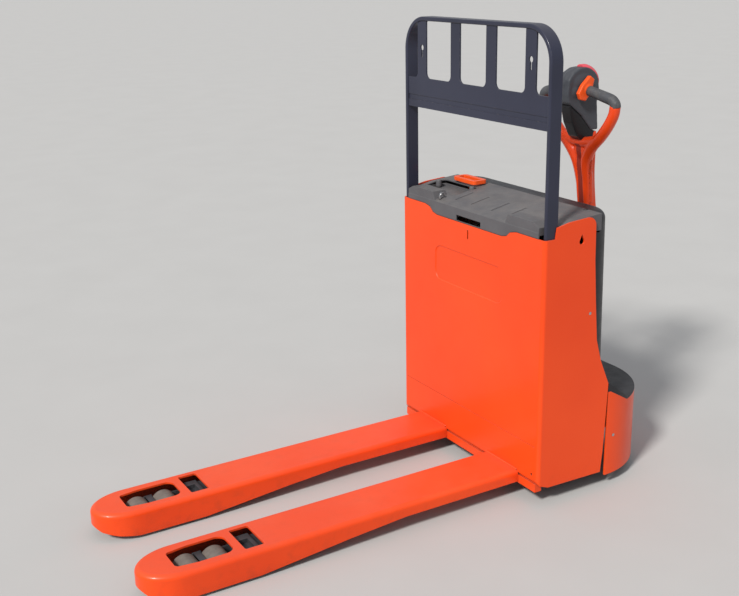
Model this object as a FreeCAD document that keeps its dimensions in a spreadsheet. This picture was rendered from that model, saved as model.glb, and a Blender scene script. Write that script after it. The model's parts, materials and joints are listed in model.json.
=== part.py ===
import FreeCAD, Part
import Sketcher
import math
import os

# Electric pallet truck with low tiller, battery box, load guard and tandem load rollers.
#
# Frame: +X points to the tiller end, the forks point along -X, +Z is up, and the floor is z = 0.
# The origin is on the floor, midway between the fork tips and the front of the drive skirt.
# Every x below is measured from the fork face, the front of the battery box. The helpers add the
# place of the fork face in the part's frame, so no sub-part repeats it.

DOCUMENT = FreeCAD.newDocument("pallet_truck")
SHEET = DOCUMENT.addObject("Spreadsheet::Sheet", "Sizes")
NODES = []
UP = FreeCAD.Vector(0, 0, 1)
ALONG = FreeCAD.Vector(1, 0, 0)
ACROSS = FreeCAD.Vector(0, 1, 0)

DRIVING_SIZES = {
    # overall
    "body_width": 720, "fork_reach": 1165, "head_length": 511, "lift_travel": 130,
    # forks
    "fork_top": 85, "fork_width": 165, "fork_spread": 540, "fork_wall": 6, "fork_edge_round": 14,
    "nose_length": 118, "heel_bottom": 48, "tip_bottom": 10,
    # load rollers and their linkage
    "roller_diameter": 74, "roller_width": 62, "roller_pitch": 82, "roller_axle_radius": 10,
    "bogie_reach": 985, "load_arm_length": 200, "load_arm_pin_height": 45, "bogie_plate": 6,
    "load_arm_plate": 8, "lever_length": 20, "push_rod_radius": 4, "rocker_set_back": 60,
    # battery box
    "sheet": 5, "panel_top": 811, "panel_bottom": 71, "side_top": 859, "side_bottom": 55,
    "box_depth": 200, "dip_depth": 25, "floor_height": 120, "corner_bend": 12,
    # load guard
    "guard_top": 1385, "guard_depth": 42, "guard_thickness": 13, "guard_bend": 100,
    "guard_plate_bottom": 1108, "window_bottom": 1200, "guard_foot": 640,
    # lid
    "lid_back": 211, "lid_ridge": 832, "lid_top": 861, "lid_wall": 4, "block_top": 855,
    # chassis, skirt, hood
    "skirt_start": 271, "skirt_bottom": 35, "skirt_high": 309, "skirt_low": 259, "skirt_round": 246,
    "skirt_wall": 6, "plate_height": 240, "plate_thickness": 10, "bulkhead_start": 214,
    "hood_start": 214, "hood_side_start": 178, "hood_front": 302, "hood_top": 860,
    "hood_round": 110, "hood_lean": 24, "hood_wall": 4, "trim_high": 337,
    # drive unit
    "drive_diameter": 230, "drive_width": 75, "drive_axle_radius": 20,
    "slew_radius": 70, "motor_radius": 60, "cover_radius": 70, "cover_top": 452,
    # casters
    "caster_diameter": 125, "caster_width": 40, "caster_place": 325,
    "caster_trail": 30, "caster_stem_radius": 12, "caster_axle_radius": 8,
    # tiller
    "pivot_height": 330, "pivot_radius": 10, "arm_width": 52, "ring_tube": 17,
    "ring_half_width": 165, "ring_low": 1010, "grip_height": 1160,
    "pod_top": 1229, "pod_half_width": 33, "stem_top": 1030,
    # fits
    "running_gap": 0.05, "side_gap": 1,
}


class Size:
    """A length with its value in millimetres and the spreadsheet formula that it comes from."""

    def __init__(self, value, formula):
        self.value = value
        self.formula = formula

    def __float__(self):
        return float(self.value)

    def joined(self, other, sign, value):
        """The Size that results from this one, an operator and another length or number."""
        formula = other.formula if isinstance(other, Size) else "(%.9g)" % other
        return Size(value, "(%s %s %s)" % (self.formula, sign, formula))

    def __add__(self, other):
        return self.joined(other, "+", self.value + float(other))

    __radd__ = __add__

    def __sub__(self, other):
        return self.joined(other, "-", self.value - float(other))

    def __rsub__(self, other):
        return (self * -1) + other

    def __mul__(self, other):
        return self.joined(other, "*", self.value * float(other))

    __rmul__ = __mul__

    def __truediv__(self, other):
        return self.joined(other, "/", self.value / float(other))

    def __neg__(self):
        return self * -1


class Sizes:
    """The driving dimensions, each one a cell of the sheet."""


def fill_sheet():
    """Write every driving dimension as an aliased cell, and return them as Size values."""
    for row, (alias, number) in enumerate(DRIVING_SIZES.items(), start=1):
        SHEET.set("A%d" % row, alias.replace("_", " "))
        SHEET.set("B%d" % row, str(number))
        SHEET.setAlias("B%d" % row, alias)
    DOCUMENT.recompute()
    for alias in DRIVING_SIZES:
        setattr(Sizes, alias, Size(float(SHEET.get(alias)), "Sizes." + alias))
    return Sizes


D = fill_sheet()
FACE = (D.fork_reach - D.head_length) / 2

# The drive unit and the tiller keep their places from the tiller end of the truck.
STEER_AXIS = D.head_length - 159
PIVOT_REACH = D.head_length - 65
RING_PLACE = PIVOT_REACH - 16

# What stands near a side of the truck keeps its place from that side.
HALF_BODY = D.body_width / 2
HOOD_HALF = HALF_BODY - 15
CASTER_OFFSET = HALF_BODY - 125
GUIDE_OFFSET = HALF_BODY - 60
HINGE_OFFSET = HALF_BODY - 70

# Half the width of a tool that cuts right across the truck.
BEYOND = 450


# ---------------------------------------------------------------------------------------------
# helpers

def bind(thing, path, length):
    """Set a property, and tie it to the sheet where the length comes from there."""
    if isinstance(length, Size):
        thing.setExpression(path, length.formula)
    elif path.startswith("Placement.Base."):
        setattr(thing.Placement.Base, path[-1], length)
        thing.setExpression(path, "%.9g" % length)
    else:
        setattr(thing, path, length)


def place(thing, x, y, z):
    """Put a primitive at a point given from the fork face."""
    bind(thing, "Placement.Base.x", FACE + x)
    bind(thing, "Placement.Base.y", y)
    bind(thing, "Placement.Base.z", z)


def box(low, size):
    """A block from its low corner and its three sizes."""
    block = DOCUMENT.addObject("Part::Box", "block")
    bind(block, "Length", size[0])
    bind(block, "Width", size[1])
    bind(block, "Height", size[2])
    place(block, *low)
    return block


def slab(x0, x1, half_width, z0, z1):
    """A block that lies evenly across the middle plane."""
    return box((x0, half_width * -1, z0), (x1 - x0, half_width * 2, z1 - z0))


TURNS = {
    "x": FreeCAD.Rotation(UP, ALONG),
    "y": FreeCAD.Rotation(UP, ACROSS),
    "z": FreeCAD.Rotation(),
}


def rod(start, direction, radius, length):
    """A round bar that starts at a point and runs along x, y or z."""
    bar = DOCUMENT.addObject("Part::Cylinder", "bar")
    bar.Placement = FreeCAD.Placement(FreeCAD.Vector(), TURNS[direction])
    bind(bar, "Radius", radius)
    bind(bar, "Height", length)
    place(bar, *start)
    return bar


def tube(start, direction, radius, bore, length):
    """A round bar with a bore through it."""
    return cut(rod(start, direction, radius, length), rod(start, direction, bore, length))


def join(kind, parts):
    """One boolean or compound object made of the parts."""
    joined = DOCUMENT.addObject(kind, "joined")
    if kind == "Part::Compound":
        joined.Links = list(parts)
    else:
        joined.Shapes = list(parts)
    return joined


def fuse(*parts):
    return join("Part::MultiFuse", parts)


def group(*parts):
    return join("Part::Compound", parts)


def common(*parts):
    return join("Part::MultiCommon", parts)


def cut(base, *tools):
    """The base with every tool taken away, one after the other."""
    for tool in tools:
        result = DOCUMENT.addObject("Part::Cut", "cut")
        result.Base = base
        result.Tool = tool
        base = result
    return base


def rounded(base, radius, chosen):
    """Fillet the edges for which chosen(edge) holds. Edge places are given from the fork face."""
    return dressed("Part::Fillet", base, radius, chosen)


def bevelled(base, size, chosen):
    """Chamfer the edges for which chosen(edge) holds."""
    return dressed("Part::Chamfer", base, size, chosen)


def dressed(kind, base, size, chosen):
    """The base with one size of fillet or chamfer on the edges that are chosen."""
    DOCUMENT.recompute()
    wanted = []
    for number, edge in enumerate(base.Shape.Edges, start=1):
        if chosen(edge):
            wanted.append((number, float(size), float(size)))
    if not wanted:
        raise ValueError("no edge to work on " + base.Name)
    finished = DOCUMENT.addObject(kind, "finished")
    finished.Base = base
    finished.Edges = wanted
    return finished


def middle(edge):
    """The middle of an edge's box, given from the fork face."""
    return edge.BoundBox.Center - FreeCAD.Vector(float(FACE), 0, 0)


def runs(edge, direction):
    """Whether an edge is straight and lies along x, y or z."""
    box_sizes = {"x": edge.BoundBox.XLength, "y": edge.BoundBox.YLength, "z": edge.BoundBox.ZLength}
    along = box_sizes.pop(direction)
    return isinstance(edge.Curve, Part.Line) and along > 1 and max(box_sizes.values()) < 0.01


PLANES = {"side": "XZ_Plane", "front": "YZ_Plane", "top": "XY_Plane"}


def prism(view, start, depth, outline):
    """A padded sketch. Its outline is drawn in side (x, z), front (y, z) or top (x, y) view,
    each corner tied to the sheet, and it runs from start for depth along +y, +x or +z."""
    body = DOCUMENT.addObject("PartDesign::Body", "body")
    sketch = body.newObject("Sketcher::SketchObject", "outline")
    plane = [each for each in body.Origin.OriginFeatures if each.Role == PLANES[view]][0]
    sketch.AttachmentSupport = (plane, [""])
    sketch.MapMode = "FlatFace"
    corners = [FreeCAD.Vector(float(u), float(v), 0) for u, v in outline]
    count = len(corners)
    for index in range(count):
        sketch.addGeometry(Part.LineSegment(corners[index], corners[(index + 1) % count]), False)
    add_corner_constraints(sketch, outline)
    pad = body.newObject("PartDesign::Pad", "pad")
    pad.Profile = sketch
    bind(pad, "Length", depth)
    pad.Reversed = view == "side"
    body.Tip = pad
    moves = {"side": (0, start, 0), "front": (start, 0, 0), "top": (0, 0, start)}
    place(body, *moves[view])
    return body


def add_corner_constraints(sketch, outline):
    """Join the lines end to end and tie each corner's two coordinates to its lengths."""
    count = len(outline)
    for index in range(count):
        sketch.addConstraint(Sketcher.Constraint("Coincident", index, 2, (index + 1) % count, 1))
    for index, corner in enumerate(outline):
        for kind, length in zip(("DistanceX", "DistanceY"), corner):
            number = sketch.addConstraint(
                Sketcher.Constraint(kind, -1, 1, index, 1, float(length)))
            if isinstance(length, Size):
                sketch.setExpression("Constraints[%d]" % number, length.formula)


def shaped(shape):
    """A sub-part whose surface neither a padded outline nor a primitive gives."""
    feature = DOCUMENT.addObject("Part::Feature", "surface")
    feature.Shape = shape
    place(feature, 0, 0, 0)
    return feature


def node(label, piece):
    """Name a finished sub-part."""
    piece.Label = label
    NODES.append(piece)
    return piece


def path_wire(points, radii):
    """A wire through straight runs, rounded at each inner point by the radius for it."""
    edges = []
    start = points[0]
    for before, corner, after, radius in zip(points, points[1:], points[2:], radii):
        back = (before - corner).normalize()
        ahead = (after - corner).normalize()
        half_turn = (math.pi - back.getAngle(ahead)) / 2
        reach = radius * math.tan(half_turn)
        enter = corner + back * reach
        leave = corner + ahead * reach
        inward = (back + ahead).normalize()
        top = corner + inward * (radius / math.cos(half_turn) - radius)
        edges.append(Part.LineSegment(start, enter).toShape())
        edges.append(Part.Arc(enter, top, leave).toShape())
        start = leave
    edges.append(Part.LineSegment(start, points[-1]).toShape())
    return Part.Wire(edges)


# ---------------------------------------------------------------------------------------------
# forks and load rollers

def fork_middle(side):
    """How far a fork's middle line lies from the middle plane."""
    return (D.fork_spread - D.fork_width) / 2 * side


def nose_plan(half_width, tip, centre, height):
    """A straight-sided block with a half-ellipse nose, from the fork face to the tip."""
    nose = float(D.nose_length) * float(half_width) / (float(D.fork_width) / 2)
    start = float(tip) + nose
    middle_point = FreeCAD.Vector(start, float(centre), 0)
    ends = [middle_point + FreeCAD.Vector(0, float(half_width) * turn, 0) for turn in (1, -1)]
    heels = [FreeCAD.Vector(0, end.y, 0) for end in ends]
    beak = middle_point - FreeCAD.Vector(nose, 0, 0)
    longer, shorter = (beak, ends[0]) if nose > float(half_width) else (ends[0], beak)
    ellipse = Part.Ellipse(longer, shorter, middle_point)
    first = ellipse.parameter(ends[0])
    last = ellipse.parameter(ends[1])
    arc = Part.ArcOfEllipse(ellipse, min(first, last), max(first, last))
    if arc.value((min(first, last) + max(first, last)) / 2).x > start:
        arc = Part.ArcOfEllipse(ellipse, max(first, last), min(first, last) + 2 * math.pi)
    lines = [Part.LineSegment(*pair).toShape() for pair in
             ((ends[1], heels[1]), (heels[1], heels[0]), (heels[0], ends[0]))]
    wire = Part.Wire(Part.__sortEdges__([arc.toShape()] + lines))
    return Part.Face(wire).extrude(UP * float(height))


def fork(side):
    """A pressed channel: round-edged top, skirts that deepen toward the tip, open underneath."""
    centre = fork_middle(side)
    top = float(D.fork_top)
    blank = nose_plan(D.fork_width / 2, -D.fork_reach, centre, top)
    crown = [edge for edge in blank.Edges
             if edge.BoundBox.ZMin > top - 0.01 and edge.BoundBox.XMin < -1]
    blank = blank.makeFillet(float(D.fork_edge_round), crown)
    hollow = nose_plan(D.fork_width / 2 - D.fork_wall, D.fork_wall - D.fork_reach, centre,
                       top - float(D.fork_wall))
    channel = shaped(blank.cut(hollow))
    tip = -D.fork_reach
    profile = [(tip - 1, D.fork_top + 1), (tip - 1, 40), (tip + 15, 28), (tip + 55, 18),
               (tip + 115, D.tip_bottom), (tip + 315, D.tip_bottom), (tip + 425, 20),
               (tip + 585, 35), (tip + 765, D.heel_bottom), (0, D.heel_bottom),
               (0, D.fork_top + 1)]
    start = centre - D.fork_width / 2 - 1
    trimmed = common(channel, prism("side", start, D.fork_width + 2, profile))
    return cut(trimmed, roller_window(centre), arm_window(centre))


WINDOW_LENGTH = 164


def roller_window(centre):
    """The long opening over the two load rollers, a little narrower toward the tip."""
    front = -D.bogie_reach - WINDOW_LENGTH / 2 - 4
    back = -D.bogie_reach + WINDOW_LENGTH / 2 - 4
    low = D.fork_top - 30
    opening = prism("top", low, 40,
                    [(front, centre - 39), (front + 60, centre - 47), (back, centre - 47),
                     (back, centre + 47), (front + 60, centre + 47), (front, centre + 39)])
    opening = rounded(opening, 12, lambda edge: runs(edge, "z")
                      and middle(edge).x < float(front) + 1)
    return rounded(opening, 24, lambda edge: runs(edge, "z")
                   and middle(edge).x > float(back) - 1)


def arm_window(centre):
    """The small opening over the root of the load arm."""
    start = (D.bogie_reach - D.roller_pitch / 2 - D.roller_diameter / 2 - 24) * -1
    opening = box((start, centre - 56, D.fork_top - 30), (55, 112, 40))
    return rounded(opening, 5, lambda edge: runs(edge, "z"))


ARM_PIN_X = D.load_arm_length - D.bogie_reach


def load_arm(side):
    """A yoke on a sleeve, with a short lever on top that the push rod works."""
    centre = fork_middle(side)
    yoke_half = D.roller_width / 2 + D.bogie_plate + D.load_arm_plate + 5
    sleeve = rod((ARM_PIN_X, centre - yoke_half, D.load_arm_pin_height), "y", 14, yoke_half * 2)
    root = -D.bogie_reach + D.roller_pitch / 2 + D.roller_diameter / 2 + 22
    block = box((root, centre - yoke_half, 31), (ARM_PIN_X - root, yoke_half * 2, 28))
    cap = box((root, centre - yoke_half, 59), (54, yoke_half * 2, 7))
    pocket = box((root + 12, centre - 24, 54), (30, 48, 15))
    lever = box((ARM_PIN_X - 7, centre - 4, D.load_arm_pin_height),
                (14, 8, D.lever_length + 9))
    pieces = [sleeve, block, cap, lever]
    holes = [pocket]
    axle_height = D.roller_diameter / 2
    for edge in (yoke_half * -1, yoke_half - D.load_arm_plate):
        pieces.append(box((-D.bogie_reach, centre + edge, axle_height - 13),
                          (root + D.bogie_reach + 4, D.load_arm_plate, 26)))
        pieces.append(rod((-D.bogie_reach, centre + edge, axle_height), "y", 15,
                          D.load_arm_plate))
    bore = rod((ARM_PIN_X, centre - 80, D.load_arm_pin_height), "y", 10 + D.running_gap, 160)
    holes.append(bore)
    holes.append(rod((-D.bogie_reach, centre - 80, axle_height), "y", 8 + D.running_gap, 160))
    holes.append(lever_slot(ARM_PIN_X, centre))
    return cut(fuse(*pieces), *holes)


def lever_slot(x, centre):
    """The open-ended slot in a lever, in which the push rod's pin rides."""
    low = D.load_arm_pin_height + D.lever_length - 5
    return box((x - 4, centre - 5, low), (8, 10, 20))


BRIDGE_TOP = 63


def bogie(side):
    """Two plates, the two roller axles and a bridge between them, and a stub outside each."""
    centre = fork_middle(side)
    inner = D.roller_width / 2 + 2
    axle_height = D.roller_diameter / 2
    pieces = []
    for turn in (-1, 1):
        axle_x = D.roller_pitch / 2 * turn - D.bogie_reach
        pieces.append(rod((axle_x, centre - inner, axle_height), "y", D.roller_axle_radius,
                          inner * 2))
    for low in (inner * -1 - D.bogie_plate, inner):
        plate = box((-D.bogie_reach - D.roller_pitch / 2 - 13, centre + low, axle_height - 14),
                    (D.roller_pitch + 26, D.bogie_plate, 28))
        pieces.append(rounded(plate, 12, lambda edge: runs(edge, "y")))
        pieces.append(prism("side", centre + low, D.bogie_plate,
                            [(-D.bogie_reach - 22, axle_height), (-D.bogie_reach - 12, BRIDGE_TOP),
                             (-D.bogie_reach + 12, BRIDGE_TOP),
                             (-D.bogie_reach + 22, axle_height)]))
    pieces.append(prism("side", centre - inner, inner * 2,
                        [(-D.bogie_reach - 3, axle_height + 9), (-D.bogie_reach - 9, BRIDGE_TOP),
                         (-D.bogie_reach + 9, BRIDGE_TOP), (-D.bogie_reach + 3, axle_height + 9)]))
    reach = inner + D.bogie_plate + D.load_arm_plate + 2
    for start in (reach * -1, inner + D.bogie_plate / 2):
        pieces.append(rod((-D.bogie_reach, centre + start, axle_height), "y", 8,
                          reach - inner - D.bogie_plate / 2))
    return fuse(*pieces)


def load_roller(side, turn):
    """A wide crowned roller on its axle."""
    centre = fork_middle(side)
    place_x = D.roller_pitch / 2 * turn - D.bogie_reach
    start = (place_x, centre - D.roller_width / 2, D.roller_diameter / 2)
    bore = D.roller_axle_radius + D.running_gap
    wheel = tube(start, "y", D.roller_diameter / 2, bore, D.roller_width)
    outer = float(D.roller_diameter) / 2
    return rounded(wheel, 3, lambda edge: edge.Length > 2 * math.pi * outer - 1)


def push_rod(side):
    """A bar from the rocker to the load arm, with a clevis and pin that straddle each lever."""
    centre = fork_middle(side)
    height = D.load_arm_pin_height + D.lever_length
    first = ARM_PIN_X + 24
    last = D.rocker_set_back - 24
    pieces = [rod((first, centre, height), "x", D.push_rod_radius, last - first)]
    for pin_x, jaw_start, web_start in ((ARM_PIN_X, ARM_PIN_X - 4, first - 2),
                                        (D.rocker_set_back, D.rocker_set_back - 28, last - 2)):
        for low in (-9, 5):
            pieces.append(box((jaw_start, centre + low, height - 4), (32, 4, 8)))
        pieces.append(box((web_start, centre - 9, height - 4), (4, 18, 8)))
        pieces.append(rod((pin_x, centre - 9, height), "y", 3, 18))
    return fuse(*pieces)


def rocker_shaft():
    """The cross shaft behind the fork heels that works both push rods."""
    span = D.fork_spread / 2
    shaft = rod((D.rocker_set_back, span * -1, D.load_arm_pin_height), "y", 12, span * 2)
    pieces = [shaft]
    slots = []
    for side in (-1, 1):
        centre = fork_middle(side)
        pieces.append(box((D.rocker_set_back - 7, centre - 4, D.load_arm_pin_height),
                          (14, 8, D.lever_length + 9)))
        slots.append(lever_slot(D.rocker_set_back, centre))
    return cut(fuse(*pieces), *slots)


def shaft_bearings():
    """Two plummer blocks under the battery floor that carry the cross shaft."""
    blocks = []
    for side in (-1, 1):
        start = (D.fork_spread / 2 - 40) * side - 10
        bearing = box((D.rocker_set_back - 20, start, D.load_arm_pin_height - 17),
                      (40, 20, D.floor_height - D.load_arm_pin_height + 17))
        hole = rod((D.rocker_set_back, start - 5, D.load_arm_pin_height), "y",
                   12 + D.running_gap, 30)
        blocks.append(cut(bearing, hole))
    return group(*blocks)


def load_arm_pins():
    """One fixed pin across each fork, on which its load arm swings."""
    half = D.fork_width / 2 - D.fork_wall
    return group(*[rod((ARM_PIN_X, fork_middle(side) - half, D.load_arm_pin_height), "y", 10,
                       half * 2) for side in (-1, 1)])


def heel_beam():
    """The cross beam that joins the fork heels under the front panel."""
    top = D.panel_bottom - 1
    half = HALF_BODY - D.corner_bend
    beam = slab(0, D.heel_bottom / 2, half, D.heel_bottom - 4, top)
    posts = slab(D.sheet, D.heel_bottom / 2, half, top, D.floor_height)
    height = D.load_arm_pin_height + D.lever_length
    slots = [box((-1, fork_middle(side) - 13, height - 9), (D.heel_bottom, 26, 18))
             for side in (-1, 1)]
    return cut(fuse(beam, posts), *slots)


# ---------------------------------------------------------------------------------------------
# battery box

def body_shell():
    """One bent sheet: front panel and both sides, open behind, with the dip for the lid."""
    half = HALF_BODY
    outline = [(0, D.panel_bottom + 8), (8, D.panel_bottom - 4), (40, D.side_bottom),
               (243, D.side_bottom - 4), (250, 120), (253, 186), (260, 337), (225, 418),
               (206, 484), (195, 608), (186, 729), (183, D.side_top),
               (86, D.side_top - 7), (43, D.side_top - 16), (38, D.panel_top), (0, D.panel_top)]
    blank = prism("side", half * -1, D.body_width, outline)
    blank = rounded(blank, D.corner_bend, lambda edge: at_front_corner(edge)
                    and edge.BoundBox.ZLength > 300)
    blank = rounded(blank, 26, lambda edge: runs(edge, "y") and middle(edge).x > 180
                    and middle(edge).z > float(D.side_top) - 1)
    room = slab(D.sheet, BEYOND, half - D.sheet, 0, 1000)
    room = rounded(room, D.corner_bend - D.sheet, at_front_corner)
    dip = prism("front", -1, D.sheet + 2, dip_outline(0, D.panel_top + 9))
    return cut(blank, room, dip, drop_hole(half), panel_press(), slit_and_seam())


def dip_outline(gap, top):
    """The dip in the panel's top edge, up to a height, with a gap left at its sides and foot."""
    low = D.panel_top - D.dip_depth + gap
    shoulder = D.panel_top + 0.1 + gap
    right = [(165, low), (188, low + 5), (205, shoulder - 6), (232, shoulder), (232, top)]
    return [(-y, z) for y, z in reversed(right)] + right


def at_front_corner(edge):
    """A corner of the box that stands upright at the fork face."""
    return runs(edge, "z") and middle(edge).x < float(D.sheet) + 1


def drop_hole(half):
    """The lifting eye high on each side: a round hole that ends in a point above."""
    centre_x = 133
    centre_z = 792
    low = half * -1 - 1
    length = half * 2 + 2
    circle = rod((centre_x, low, centre_z), "y", 9, length)
    point = prism("side", low, length,
                  [(centre_x - 8.4, centre_z + 3), (centre_x + 8.4, centre_z + 3),
                   (centre_x, centre_z + 21)])
    screw = rod((176, low, 572), "y", 5, length)
    return fuse(circle, point, screw)


def panel_press():
    """The shallow pressed rectangle in the front panel."""
    press = rounded(box((-1, -175, 578), (3.6, 350, 113)), 32, lambda edge: runs(edge, "x"))
    return bevelled(press, 2.4, lambda edge: middle(edge).x > 2.5)


def slit_and_seam():
    """The key slit at the top of the front panel and the joint line across its foot."""
    slit = box((-1, -3, 742), (D.sheet + 2, 6, 28))
    reach = HALF_BODY - 20
    seam = box((-1, reach * -1, 187), (2.4, reach * 2, 3))
    drain = rod((-1, reach * -1 + 10, 97), "x", 4, D.sheet + 2)
    return fuse(slit, seam, drain)


def battery_floor():
    """The floor plate, welded to the front panel, the sides and the rear wall."""
    floor = slab(D.sheet, D.box_depth, HALF_BODY - D.sheet, D.floor_height,
                 D.floor_height + 8)
    return rounded(floor, D.corner_bend - D.sheet, at_front_corner)


def rear_wall():
    """The back of the battery box, with the bracket that the piston rod lifts."""
    low = slab(D.box_depth, D.box_depth + D.sheet, HALF_BODY - D.sheet, 60, 200)
    high = slab(D.box_depth, D.box_depth + D.sheet, HOOD_HALF - D.hood_wall - 3, 60,
                D.panel_top - 31)
    bracket = box((D.box_depth + 3, LIFT_Y - 30, LIFT_TOP), (62, 60, 12))
    return fuse(low, high, bracket)


LIFT_X = D.bulkhead_start + 31
LIFT_Y = -200
LIFT_TOP = 600


def piston_rod():
    """The rod that lifts the battery box by its bracket."""
    return rod((LIFT_X, LIFT_Y, 300), "z", 15, LIFT_TOP - 300)


def guide_shoes():
    """Four blocks on the back of the battery box that slide in the guide rails."""
    shoes = []
    for side in (-1, 1):
        for height in (320, 520):
            shoes.append(box((D.box_depth + D.sheet, GUIDE_OFFSET * side - 15, height), (6.5, 30, 80)))
    return group(*shoes)


def battery_case():
    """An open steel tray, with a gap all round inside the box."""
    low = D.floor_height + 8
    half = HALF_BODY - 35
    outside = slab(14, D.box_depth - 4, half, low, 762)
    inside = slab(20, D.box_depth - 10, half - 6, low + 6, 800)
    return cut(outside, inside)


CELL_TOP = 766
FIRST_CELL = 43 - HALF_BODY
CELL_PITCH = (D.body_width - 84) / 6


def battery_cells():
    """Twelve upright cells in two rows."""
    low = D.floor_height + 15
    cells = []
    for row in (21, 105.5):
        for column in range(6):
            cells.append(box((row, FIRST_CELL + CELL_PITCH * column, low),
                             (83.5, CELL_PITCH - 2, CELL_TOP - low)))
    return group(*cells)


def battery_bridges():
    """The lead bridges between neighbouring cells, and the two end posts."""
    bars = [box((row, FIRST_CELL + CELL_PITCH * column - 18, CELL_TOP), (18, 34, 7))
            for row in (52, 138) for column in range(1, 6)]
    bars.append(rod((60, FIRST_CELL + 32, CELL_TOP), "z", 10, 12))
    bars.append(rod((148, FIRST_CELL + 32, CELL_TOP), "z", 10, 12))
    bars.append(box((92, FIRST_CELL * -1 - 32, CELL_TOP), (24, 18, 7)))
    return group(*bars)


def screw_heads():
    """Button-head screws on the two side panels, sunk in their holes."""
    half = HALF_BODY
    return group(*[rod((176, y, 572), "y", 4.7, 3) for y in (half * -1 + 0.6, half - 3.6)])


# ---------------------------------------------------------------------------------------------
# load guard

def guard_outline(inset, low, x_start, depth):
    """The guard's round-cornered outline as a block, drawn in by inset."""
    half = HALF_BODY - D.sheet - inset
    block = slab(x_start, x_start + depth, half, low, D.guard_top - inset)
    top = float(D.guard_top - inset)
    return rounded(block, D.guard_bend - inset,
                   lambda edge: runs(edge, "x") and edge.BoundBox.ZMin > top - 1)


GUARD_START = D.sheet + 3
GUARD_EDGE = 4
PLATE_START = GUARD_START + GUARD_EDGE


def guard_frame():
    """A flat bar bent into a portal, its feet bolted inside the box."""
    outer = guard_outline(0, D.guard_foot, GUARD_START, D.guard_depth)
    inner = guard_outline(D.guard_thickness, D.guard_foot - 50, GUARD_START - 1,
                          D.guard_depth + 2)
    return rounded(cut(outer, inner), GUARD_EDGE, lambda edge: runs(edge, "z"))


GUARD_INNER = HALF_BODY - D.sheet - D.guard_thickness
KEYHOLE_PLACE = GUARD_INNER * 0.772


def guard_plate():
    """The sheet in the guard: a foot rail, four uprights, five windows and two keyholes."""
    gap = D.guard_thickness
    sheet = guard_outline(gap, D.guard_plate_bottom, PLATE_START, 5)
    window_top = D.guard_top - D.guard_thickness
    windows = []
    for low, high in ((-1.089, -0.839), (-0.7047, -0.3216), (-0.187, 0.187),
                      (0.3216, 0.7047), (0.839, 1.089)):
        windows.append(guard_window(GUARD_INNER * low, GUARD_INNER * high, window_top))
    for side in (-1, 1):
        windows.append(rod((PLATE_START - 1, KEYHOLE_PLACE * side, 1292), "x", 9, 8))
        windows.append(box((PLATE_START - 1, KEYHOLE_PLACE * side - 4, 1264), (8, 8, 28)))
    rail = slab(PLATE_START + 5, PLATE_START + 22, GUARD_INNER,
                D.guard_plate_bottom, D.guard_plate_bottom + 5)
    groove = slab(PLATE_START - 1, PLATE_START + 2, BEYOND, D.guard_plate_bottom + 22,
                  D.guard_plate_bottom + 38)
    return cut(fuse(sheet, rail), groove, *windows)


def guard_window(y_low, y_high, top):
    """A window with round lower corners, open up to the top bar."""
    opening = box((PLATE_START - 1, y_low, D.window_bottom),
                  (8, y_high - y_low, top - D.window_bottom + 20))
    low = float(D.window_bottom)
    return rounded(opening, 18, lambda edge: runs(edge, "x") and edge.BoundBox.ZMax < low + 1)


# ---------------------------------------------------------------------------------------------
# lid

def lid():
    """The battery cover: a sloping shell with a front apron, two corner blocks, a hand slot,
    grooves, a tray and the hole for the isolator."""
    half = HALF_BODY - D.sheet - D.side_gap * 3
    base = D.panel_top + 1
    outer = prism("side", half * -1, half * 2,
                  [(1, base), (1, D.lid_ridge - 4), (8, D.lid_ridge), (105, D.lid_ridge + 20),
                   (D.lid_back, D.lid_top), (D.lid_back, base)])
    drop = D.lid_wall
    low = base - 1
    inner = prism("side", half * -1 + drop, half * 2 - drop * 2,
                  [(drop + 1, low), (drop + 1, D.lid_ridge - 8 - drop), (9, D.lid_ridge - drop),
                   (105, D.lid_ridge + 20 - drop), (D.lid_back - 10, D.lid_top - drop - 1),
                   (D.lid_back - 10, low)])
    shell = cut(outer, inner)
    apron = prism("front", 1, D.sheet - 1, dip_outline(1.2, base + 6))
    pieces = [shell, apron]
    for side in (-1, 1):
        pieces.append(corner_block(side))
    tray = box((54, TRAY_START, D.lid_ridge - 3), (98, 192, 13))
    full = fuse(*pieces, tray)
    grooves = [lid_groove(y) for y in (-148, -67, 34, 116)]
    tray_room = rounded(box((58, TRAY_START + 4, D.lid_ridge + 3), (90, 184, 60)), 14,
                        lambda edge: runs(edge, "z"))
    slot = slab(0, D.sheet + 1, 62, D.panel_top - 22, D.panel_top - 5)
    guard_room = [box((-1, half * side - (22 if side > 0 else 4), base - 1), (61, 26, 60))
                  for side in (-1, 1)]
    port = box((ISOLATOR_X + 10, ISOLATOR_Y - 26, base), (18, 52, 80))
    pins = []
    leaves = []
    for y in (HINGE_OFFSET * -1, HINGE_OFFSET):
        pins.append(rod((PIN_X, y - 20, PIN_Z), "y", 2.6, 40))
        leaves.append(box((D.lid_back - 12, y - 6, base), (14, 12, 80)))
    return cut(full, *grooves, tray_room, slot, *guard_room, port, *pins, *leaves)


def lid_groove(y):
    """A shallow groove that follows the slope of the lid."""
    low = D.lid_ridge + 4.5
    return prism("side", y - 4, 8, [(38, low), (105, low + 13.8), (105, low + 60), (38, low + 60)])


def corner_block(side):
    """The raised corner that fills the space between the ridge and a guard post."""
    inner = HALF_BODY - 182
    outer = HALF_BODY - 27
    return prism("front", 2, 48,
                 [(inner * side, D.lid_ridge - 4), ((inner + 14) * side, D.block_top),
                  ((outer - 30) * side, D.block_top), (outer * side, D.block_top - 14),
                  (outer * side, D.lid_ridge - 12), (inner * side, D.lid_ridge - 12)])


ISOLATOR_X = 168
ISOLATOR_Y = HALF_BODY - 138
TRAY_START = HALF_BODY - 216
PIN_X = D.lid_back - 3
PIN_Z = D.lid_top - 4


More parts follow.
